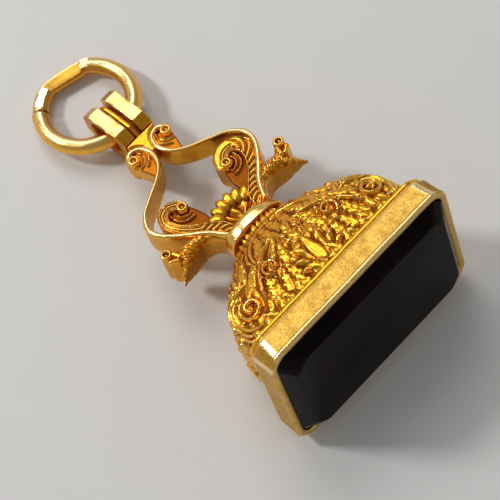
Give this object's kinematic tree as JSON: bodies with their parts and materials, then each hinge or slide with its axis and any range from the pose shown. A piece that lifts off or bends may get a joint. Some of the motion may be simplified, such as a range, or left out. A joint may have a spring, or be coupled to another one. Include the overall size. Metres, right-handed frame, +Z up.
{
  "type": "fob seal",
  "caption": "Fob seal lying on its back: cut-corner stone in a gilt setting, chased dome, openwork lyre handle, double-hoop loop and swinging split ring.",
  "frame": {"origin": "on the table, under the middle of the part's outline as it lies", "axes": "+X along the table from the ring to the stone, +Y across towards the seal's right side, +Z up; the seal lies on its back with its axis 9.9 degrees off level, loop end lower"},
  "size_m": [0.0488, 0.025, 0.0173],
  "materials": {
    "stone": "polished dark brown-purple stone, nearly black, opaque",
    "cement": "set shellac and pitch, matt",
    "inner_brass": "plain brass, not seen",
    "matt_gold": "yellow gold casing, finely scratched and softly matt",
    "polished_gold": "yellow gold casing, worn bright, orange in the hollows",
    "chased_gold": "chased yellow gold casing, dark in the cut lines",
    "ring_gold": "bright yellow gold wire, hammered and worn"
  },
  "bodies": {
    "seal": {"seal_stone": "stone", "stone_bedding": "cement", "bezel_plate": "inner_brass", "bezel_band": "matt_gold", "bezel_moulding": "polished_gold", "body_shell": "chased_gold", "body_filling": "cement", "neck_peg": "inner_brass", "neck_collar": "polished_gold", "shell_fan": "chased_gold", "scroll_left": "polished_gold", "scroll_right": "polished_gold", "leaf_leg_left": "chased_gold", "leaf_leg_right": "chased_gold", "wing_left": "chased_gold", "wing_right": "chased_gold", "loop_saddle": "polished_gold", "loop_hoop_left": "polished_gold", "loop_hoop_right": "polished_gold", "loop_wire": "polished_gold"},
    "ring": {"split_ring": "ring_gold"}
  },
  "joints": [
    {"name": "ring_swing", "type": "hinge", "parent": "seal", "child": "ring", "pos_m": [-0.01416, -0.00025, 0.00258], "axis": [0, 1, 0], "range_deg": [-155, 155]}
  ]
}
